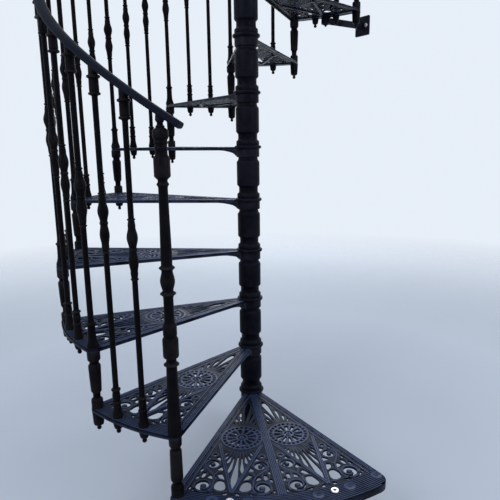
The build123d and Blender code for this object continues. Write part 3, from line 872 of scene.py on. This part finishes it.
def stand_tree():
    """Geometry nodes that stand copies of an upright along the winding stair."""
    numbers = {"Count": 10, "First Angle": 0.0, "Step Angle": 0.45}
    numbers |= {"First Height": 0.4, "Rise": 0.2, "Circle": 0.704}
    tree, given, result = new_tree("Along The Stair", "Geometry", numbers)
    index = tree.nodes.new("GeometryNodeInputIndex").outputs[0]
    swing = math_of(tree, "MULTIPLY", index, given["Step Angle"])
    angle = math_of(tree, "SUBTRACT", given["First Angle"], swing)
    climb = math_of(tree, "MULTIPLY_ADD", index, given["Rise"], given["First Height"])
    spot = on_circle(tree, angle, given["Circle"], climb)
    points = add(tree, "GeometryNodePoints", Count=given["Count"], Position=spot)
    bearing = add(tree, "ShaderNodeCombineXYZ", Z=angle)
    return stand_copies(tree, given, result, points.outputs[0], Rotation=bearing.outputs[0])


# Baluster paint: its bare colour is also a painted highlight on the edges, its dust colour also a
# painted sky sheen on upward faces.
BALUSTER_PAINT = painted_iron(
    "baluster_paint",
    paint=(0.0036, 0.0030, 0.0034, 1),
    bare_and_highlight=(0.014, 0.012, 0.013, 1),
    dust_and_sheen=(0.045, 0.045, 0.058, 1),
    dust_and_sheen_share=0.20,
    roughness=0.40,
    sheen=0.045,
)
STAND = stand_tree()
RAIL_ABOVE = 992.0
UPRIGHT_SEGMENTS = 18
RAIL_SLOPE = RISE / (BALUSTER_CIRCLE * math.radians(STEP_ANGLE))


def cut_to_slope(mesh, top, slope):
    """Cut the flat top of a turned piece to the slope of the rail over it."""
    for vertex in mesh.vertices:
        if vertex.co.z > top * MM - 1e-6:
            vertex.co.z -= slope * vertex.co.y


def stood(name, profile, index, height, count, slope=0.0):
    """Mesh of uprights from one profile, one to each level from the first."""
    single = mesh_of(name, [turned(profile, UPRIGHT_SEGMENTS)])
    cut_to_slope(single, profile[-1][0], slope)
    values = {
        "Count": count,
        "First Angle": math.radians(step_angle(index)),
        "Step Angle": math.radians(STEP_ANGLE),
        "First Height": height * MM,
        "Rise": RISE * MM,
        "Circle": BALUSTER_CIRCLE * MM,
        "Finish": BALUSTER_PAINT,
    }
    return through_nodes(name, single, STAND, values)


def top_collar(height, shaft):
    """Two rings and a short barrel under the rail."""
    collar = [(-80, shaft), (-77, shaft + 0.8)]
    collar += bead(-71.5, 4.2, 12.8, 16.9, 4)
    collar += [(-66, 13.3), (-62, 13.6), (-38, 13.3), (-33, 13.4)]
    collar += bead(-27.5, 4.6, 13.8, 18.8, 4)
    collar += [(-22, 13.2), (-19, 12.8), (-1.5, 12.8)]
    return [(height + up, radius) for up, radius in collar]


def knop(low, high, shaft, full, waist):
    """Long double knop: a fine ring, two swellings with a waist, a fine ring."""
    middle = (low + high) / 2
    return (
        bead(low - 2, 3, shaft, shaft + 3.4, 4)
        + [(low + 4, shaft + 1.2), (low + 14, shaft + 2.6)]
        + swell(low + 22, middle - 7, waist, 0.7 * full + 0.3 * waist)
        + bead(middle, 5, waist, waist + 1.8, 4)
        + swell(middle + 7, high - 22, waist, full)
        + [(high - 14, shaft + 2.6), (high - 4, shaft + 1.2)]
        + bead(high + 2, 3, shaft, shaft + 3.4, 4)
    )


def slim_profile(height):
    """Slim baluster from its flared foot to the rail."""
    profile = [(0, 15.6), (2, 16.6), (8, 16.6), (12, 15.6), (18, 14.2), (26, 12.8), (36, 12)]
    profile += [(43, 11.8), (47, 12)]
    profile += bead(51.5, 3.4, 12, 14.4, 4)
    profile += swell(57, 86, 10.8, 12.4, 6)
    profile += bead(92, 3.4, 11, 14.6, 4)
    profile += [(98, 9.1), (106, 8.7), (300, 8.5)]
    profile += knop(height - 506, height - 342, 8.2, 15.6, 10.4)
    return profile + [(height - 192, 8.1)] + top_collar(height, 8.1)


def main_profile(height):
    """Heavier baluster from its foot on the upper tread to the rail."""
    profile = [(0, 18.4), (2, 19.2), (10, 19.2), (14, 17.6), (20, 15.4), (30, 13.4), (42, 12.6)]
    profile += [(58, 12.2), (71, 12.2)]
    profile += bead(80, 4, 12.4, 16.2, 4)
    profile += [(88, 10.4), (98, 9.4), (240, 8.9)]
    profile += knop(386, 550, 8.8, 18.0, 11.8)
    return profile + [(700, 8.7)] + top_collar(height, 8.7)


slim_meshes = []
for side in (-1, 1):
    slim = slim_profile(RAIL_ABOVE + side * RISE / 6)
    slim_meshes.append(stood("slim", slim, 2 + side / 6, 2 * RISE, 10, RAIL_SLOPE))
slim_whole = merged("intermediate_balusters", slim_meshes)
slim_nodes = ["slim_balusters_low", "slim_balusters_high"]
place("intermediate_balusters", slim_whole, BALUSTER_PAINT, *slim_nodes)
main = main_profile(RAIL_ABOVE - RISE / 2)
main_whole = stood("overlap_balusters", main, 2.5, 3 * RISE, 10, RAIL_SLOPE)
place("overlap_balusters", main_whole, BALUSTER_PAINT, "main_balusters")


# Barrels between overlapping treads, and the drops below: turned nuts on the
# long bolts that tie each baluster to its treads, ending in a small ball.
BARREL = [(0, 18.2), (24, 18.4), (28, 17.4), (31, 13), (34, 11.8), (46, 11.8), (50, 13)]
BARREL += [(54, 16.2), (58, 16.9), (100, 18.6), (138, 19.6), (142, 19.2), (146, 16)]
BARREL += [(149, 14.8), (154, 14.8), (157, 16.5), (160, 19.4), (163, 20.4), (188, 20.6)]
STEM = [(0, 19.2), (28, 18.9), (32, 17.6), (38, 13.6), (43, 13.2), (48, 15.6), (52, 18.3)]
STEM += [(56, 18.8), (138, 17.8), (146, 17.4), (149, 15.8), (152, 14.2), (156, 14.2)]
STEM += [(160, 16.8), (164, 18.8), (188, 19.4)]
barrel_meshes = [stood("newel_stem", STEM, 1.5, RISE, 1)]
barrel_meshes.append(stood("corner_barrels", BARREL, 2.5, 2 * RISE, 10))
place("corner_barrels", merged("corner_barrels", barrel_meshes), BALUSTER_PAINT, "corner_spacers")


def drop_profile(length, radius):
    """Drop below a tread: a cup, a cove and a ball, from the ball upwards."""
    low = -length
    ball = 7.4
    profile = [(low, 0.6)]
    for i in range(1, 6):
        swing = math.pi * i / 7
        profile.append((low + ball * (1 - math.cos(swing)), ball * math.sin(swing)))
    profile += [(low + 14, 5.4), (low + 15.5, 6.5), (low + 17, 10.5), (low + 20, radius * 0.80)]
    profile += [(low + 26, radius * 0.88), (-18, radius * 0.97), (-15, radius), (-11.6, radius)]
    return profile


slim_drops = []
for side in (-1, 1):
    slim_drops.append(stood("drop", drop_profile(53, 16), 2 + side / 6, 2 * RISE, 10))
place("slim_drops", merged("slim_drops", slim_drops), BALUSTER_PAINT, "pendants_slim")
corner_drops = stood("corner_drops", drop_profile(80, 19), 2.5, 2 * RISE, 10)
place("corner_drops", corner_drops, BALUSTER_PAINT, "pendants_corner")


# Newel post: the heavy turned post at the entry, from the floor through the
# first tread to the start of the rail, in blocks joined by turned members.
NEWEL_SEGMENTS = 36


def sharp_ring(height, half, base, crown):
    """Profile points of a sharp-edged ring between two necks."""
    ring = [(-1, base), (-0.75, base + 0.8), (-0.12, crown)]
    ring += [(-share, radius) for share, radius in ring[::-1]]
    return [(height + half * share, radius) for share, radius in ring]


NEWEL = [(0, 19.6), (3, 20), (60, 18.9), (110, 17.3), (160, 16.2), (196, 15.6), (202, 15.2)]
NEWEL += sharp_ring(214, 8, 15, 21.9)
NEWEL += [(226, 14.4), (232, 14.6), (236, 21), (240, 22.4), (288, 22.4), (291, 21.4)]
NEWEL += [(295, 18.8), (298, 18.6), (302, 19.6), (328, 19.4), (333, 17.8), (338, 15.2)]
NEWEL += [(344, 14.2), (405, 13.8), (410, 14.2)]
NEWEL += sharp_ring(420, 8, 15, 21.9)
NEWEL += [(432, 15.4), (444, 18.8), (452, 20.3), (458, 20.3), (468, 18.4), (478, 15.8)]
NEWEL += sharp_ring(492, 8, 15.4, 21.9)
NEWEL += [(506, 15.6), (560, 15.0), (640, 13.4), (704, 12.6)]
NEWEL += sharp_ring(716, 7, 12.9, 16.5)
NEWEL += [(724, 12.6), (728, 13.4), (735, 21), (738, 21.8), (782, 21.8), (785, 20.6)]
NEWEL += [(790, 17), (794, 16.2), (804, 16), (806, 17.4), (810, 17.4), (812, 16)]
NEWEL += [(818, 16), (820, 17.8), (825, 17.8), (828, 16.4), (832, 18.6), (836, 20.6)]
NEWEL += [(849, 20.8), (854, 19.2), (858, 15.2), (860, 11.6), (864, 11.8), (866, 8.8)]
NEWEL += [(870, 8), (873, 8.4), (876, 11), (880, 12.2), (886, 11.6), (890.5, 10.8)]
newel_spot = around(BALUSTER_CIRCLE, NEWEL_ANGLE)
newel_mesh = mesh_of("newel", [turned(NEWEL, NEWEL_SEGMENTS)])
cut_to_slope(newel_mesh, NEWEL[-1][0], RAIL_SLOPE)
moved(newel_mesh, *newel_spot, 2 * RISE, NEWEL_ANGLE)
place("entry_newel", newel_mesh, BALUSTER_PAINT, "newel_post")

NEWEL_BASE = [(0, 35.6), (6, 35.6), (8.5, 34.5), (10, 31), (14, 26), (20, 22.4), (26, 20)]
NEWEL_BASE += [(34, 19), (150, 18.8), (160, 18.4), (165, 16.4), (170, 12.8), (175, 11.6)]
NEWEL_BASE += [(180, 13.2), (185, 18), (188, 19)]
foot_mesh = mesh_of("newel_base", [turned(NEWEL_BASE, NEWEL_SEGMENTS, *newel_spot)])
place("newel_base", foot_mesh, BALUSTER_PAINT, "newel_foot")


# Handrail: a moulded black rail in one sweep over the heads of the balusters,
# with a crowned top, rolled sides and a flat underside, cut square at its end.
def rail_tree():
    """Geometry nodes that carry a closed section up the winding stair."""
    numbers = {"Stations": 240, "First Angle": 0.0, "Sweep": 4.0}
    numbers |= {"First Height": 1.2, "Climb": 2.0, "Circle": 0.704}
    tree, given, result = new_tree("Winding Rail", "Geometry", numbers)
    index = tree.nodes.new("GeometryNodeInputIndex").outputs[0]
    last = math_of(tree, "SUBTRACT", given["Stations"], 1.0)
    share = math_of(tree, "DIVIDE", index, last)
    swing = math_of(tree, "MULTIPLY", share, given["Sweep"])
    angle = math_of(tree, "SUBTRACT", given["First Angle"], swing)
    climb = math_of(tree, "MULTIPLY_ADD", share, given["Climb"], given["First Height"])
    spot = on_circle(tree, angle, given["Circle"], climb)
    line = add(tree, "GeometryNodeMeshLine", Count=given["Stations"])
    bent = add(tree, "GeometryNodeSetPosition", Geometry=line.outputs[0], Position=spot)
    path = add(tree, "GeometryNodeMeshToCurve", Mesh=bent.outputs[0])
    upright = add(tree, "GeometryNodeSetCurveNormal", Curve=path.outputs[0])
    upright.mode = "Z_UP"
    section = add(tree, "GeometryNodeMeshToCurve", Mesh=given["Geometry"])
    sweep = add(tree, "GeometryNodeCurveToMesh", Curve=upright.outputs[0])
    wire(tree, sweep, Profile_Curve=section.outputs[0], Fill_Caps=True)
    return finish_tree(tree, given, result, sweep.outputs[0])


def rail_finish():
    """Dense black moulded rail: satin, with long faint draw lines."""
    material, tree, shader = new_material("rail_black")
    where = object_space(tree)
    cloud = noise(tree, where, 9.0, 4.0)
    fine = noise(tree, where, 420.0, 2.0)
    colour = blend_colours(tree, cloud, (0.0046, 0.0060, 0.0120, 1), (0.0075, 0.0098, 0.0190, 1))
    rough = remap(tree, cloud, 0.3, 0.7, 0.44, 0.54)
    bump = add(tree, "ShaderNodeBump", Strength=0.08, Distance=0.0003, Height=fine)
    wire(tree, shader, Base_Color=colour, Roughness=rough, Normal=bump.outputs["Normal"])
    wire(tree, shader, Specular_IOR_Level=0.03, Specular_Tint=COOL_SHEEN)
    return material


RAIL_BLACK = rail_finish()
RAIL_HALF = [(0, -2.6), (10.5, -2.6), (11.6, -1.6), (14.6, -1.4), (17, 0.4), (18, 3.2)]
RAIL_HALF += [(17.2, 7), (14.8, 10.4), (10.8, 13.2), (5.6, 15.0), (0, 15.5)]
RAIL_START = 1.33
RAIL_END = 11.67

# The sweep lays the section upside down, so its points are given turned.
section_points = [(-across * MM, -up * MM, 0) for across, up in RAIL_HALF]
section_points += [(across * MM, -up * MM, 0) for across, up in RAIL_HALF[-2:0:-1]]
section_mesh = bpy.data.meshes.new("rail_section")
loop = [(i, (i + 1) % len(section_points)) for i in range(len(section_points))]
section_mesh.from_pydata(section_points, loop, [])
rail_values = {
    "Stations": 240,
    "First Angle": math.radians(step_angle(RAIL_START)),
    "Sweep": math.radians((RAIL_END - RAIL_START) * STEP_ANGLE),
    "First Height": (RAIL_START * RISE + RAIL_ABOVE) * MM,
    "Climb": (RAIL_END - RAIL_START) * RISE * MM,
    "Circle": BALUSTER_CIRCLE * MM,
    "Finish": RAIL_BLACK,
}
rail_mesh = through_nodes("rail", section_mesh, rail_tree(), rail_values, 40.0)
rail_nodes = ["handrail_1", "handrail_2", "handrail_3", "handrail_4"]
place("moulded_handrail", rail_mesh, RAIL_BLACK, *rail_nodes, slot="handrail")


# Wall stay: a flat bar from an eye below the ninth tread to a plate on the
# wall, which steadies the stair. The bolt hangs through the eye with a nut
# that ends in a small ball.
STAY_ANGLE = 34.0
STAY_LEVEL = 9
STAY_TOP = -12.25
STAY_LOW = STAY_TOP - 30
STAY_LENGTH = 240.0
WALL_PLATE = 8.0
WALL_BOLT_OUT = 30.0
STAY_EYE = [(0, 19.5), (1.5, 20.8), (28.5, 20.8), (30, 19.5)]
STAY_NUT = [(-12, 0.8), (-11.3, 3), (-9.8, 4.6), (-8, 4.8), (-6.6, 4), (-5.8, 4.6)]
STAY_NUT += [(-5, 8.5), (-3, 13), (-0.3, 15.6)]
BOLT_HEAD = [(0, 9.5), (5, 9.5), (6.5, 8)]


def bar_shape(x0, x1, y0, y1, z0, z1, edge=1.2):
    """Flat bar with chamfered long edges, between plan and height limits."""
    ring = [(y0 + edge, z0), (y1 - edge, z0), (y1, z0 + edge), (y1, z1 - edge)]
    ring += [(y1 - edge, z1), (y0 + edge, z1), (y0, z1 - edge), (y0, z0 + edge)]
    return skinned([[(x, y, z) for y, z in ring] for x in (x0, x1)])


stay_shapes = [turned(STAY_EYE, 32, z=STAY_LOW)]
stay_shapes.append(bar_shape(14, STAY_LENGTH, -4, 4, STAY_LOW, STAY_TOP))
plate_ends = (STAY_LENGTH, STAY_LENGTH + WALL_PLATE)
stay_shapes.append(bar_shape(*plate_ends, -45, 45, STAY_LOW - 30, STAY_TOP + 30, 3))
heads = []
for side in (-1, 1):
    points, faces = turned(BOLT_HEAD, 6)
    out = STAY_LENGTH * MM
    across = side * WALL_BOLT_OUT * MM
    up = (STAY_TOP + STAY_LOW) / 2 * MM
    heads.append(([(out - z, across + y, up + x) for x, y, z in points], faces))
shank = turned([(STAY_LOW - 0.3, 12.8), (-12, 12.8)], 24)
stay_mesh = mesh_of("stay", stay_shapes)
head_mesh = mesh_of("stay_heads", heads)
bolt_mesh = mesh_of("stay_bolt", [turned(STAY_NUT, 24, z=STAY_LOW), shank])
stay_spot = around(BALUSTER_CIRCLE, step_angle(STAY_LEVEL))
for mesh in (stay_mesh, head_mesh, bolt_mesh):
    moved(mesh, *stay_spot, STAY_LEVEL * RISE, STAY_ANGLE)
place("wall_bracket", stay_mesh, COLUMN_PAINT, "wall_stay")
place("wall_bracket_bolts", head_mesh, ZINC, slot="pole")
place("bracket_bolt", bolt_mesh, COLUMN_PAINT, "stay_bolt")


# Studio: a plain pale floor, a pale surround and soft lamps, one wide lamp
# high behind the stair so that the treads' tops carry a sheen.
def floor_finish():
    """Pale matt floor that fades out far from the stair."""
    material, tree, shader = new_material("studio_floor")
    where = object_space(tree)
    cloud = noise(tree, where, 1.3, 3.0)
    colour = blend_colours(tree, cloud, (0.44, 0.49, 0.58, 1), (0.50, 0.55, 0.63, 1))
    length = tree.nodes.new("ShaderNodeVectorMath")
    length.operation = "LENGTH"
    feed(tree, where, length.inputs[0])
    away = length.outputs["Value"]
    colour = blend_colours(tree, remap(tree, away, 0.9, 3.6), colour, (0.66, 0.71, 0.78, 1))
    fade = remap(tree, away, 1.6, 5.0, 1.0, 0.0)
    wire(tree, shader, Base_Color=colour, Alpha=fade, Roughness=0.75, Specular_IOR_Level=0.1)
    return material


FLOOR_RADIUS = 7000.0
floor_shape = turned([(-6, FLOOR_RADIUS), (-0.5, FLOOR_RADIUS)], 96)
floor_mesh = mesh_of("studio_floor", [floor_shape])
floor_mesh.materials.append(floor_finish())
floor = new_object("studio_floor", floor_mesh)

world = bpy.data.worlds.new("studio")
bpy.context.scene.world = world
world.use_nodes = True
sky = world.node_tree
paths = sky.nodes.new("ShaderNodeLightPath").outputs
seen = math_of(sky, "ADD", paths["Is Camera Ray"], paths["Is Glossy Ray"])
seen = math_of(sky, "ADD", seen, paths["Is Transmission Ray"])
strength = remap(sky, seen, 0.0, 1.0, 0.75, 1.0)
wire(sky, sky.nodes["Background"], Color=(0.80, 0.86, 0.94, 1), Strength=strength)

LAMPS = [
    ("wide_back", (0.3, 4.6, 3.0), (0.0, 0.0, 0.7), 3.4, 75),
    ("left_front", (-2.8, -3.0, 3.2), (0.0, 0.0, 1.2), 2.4, 60),
    ("right_front", (3.0, -2.2, 2.6), (0.0, 0.0, 1.2), 2.4, 45),
]
for lamp_name, spot, aim, size, power in LAMPS:
    light = bpy.data.lights.new(lamp_name, "AREA")
    light.shape = "DISK"
    light.size = size
    light.energy = power
    lamp = new_object(lamp_name, light)
    lamp.location = spot
    lamp.rotation_euler = (Vector(aim) - Vector(spot)).to_track_quat("-Z", "Y").to_euler()
    lamp.visible_camera = False

CAMERA_SPOT = (0.0126, -2.0314, 1.224)
CAMERA_YAW = math.radians(0.28)
CAMERA_PITCH = math.radians(-11.86)
CAMERA_ROLL = math.radians(-0.83)
CAMERA_LENS = 37.48
ahead = Vector((-math.sin(CAMERA_YAW), math.cos(CAMERA_YAW), 0))
right = Vector((math.cos(CAMERA_YAW), math.sin(CAMERA_YAW), 0))
upward = Vector((0, 0, 1))
look = ahead * math.cos(CAMERA_PITCH) + upward * math.sin(CAMERA_PITCH)
top = upward * math.cos(CAMERA_PITCH) - ahead * math.sin(CAMERA_PITCH)
across = right * math.cos(CAMERA_ROLL) + top * math.sin(CAMERA_ROLL)
top = top * math.cos(CAMERA_ROLL) - right * math.sin(CAMERA_ROLL)
lens = bpy.data.cameras.new("photo_camera")
lens.lens = CAMERA_LENS
lens.sensor_width = 36.0
lens.clip_start = 0.01
camera = new_object("photo_camera", lens)
camera.matrix_world = Matrix((across, top, -look)).transposed().to_4x4()
camera.location = CAMERA_SPOT
bpy.context.scene.camera = camera
bpy.context.scene.view_settings.view_transform = "Standard"
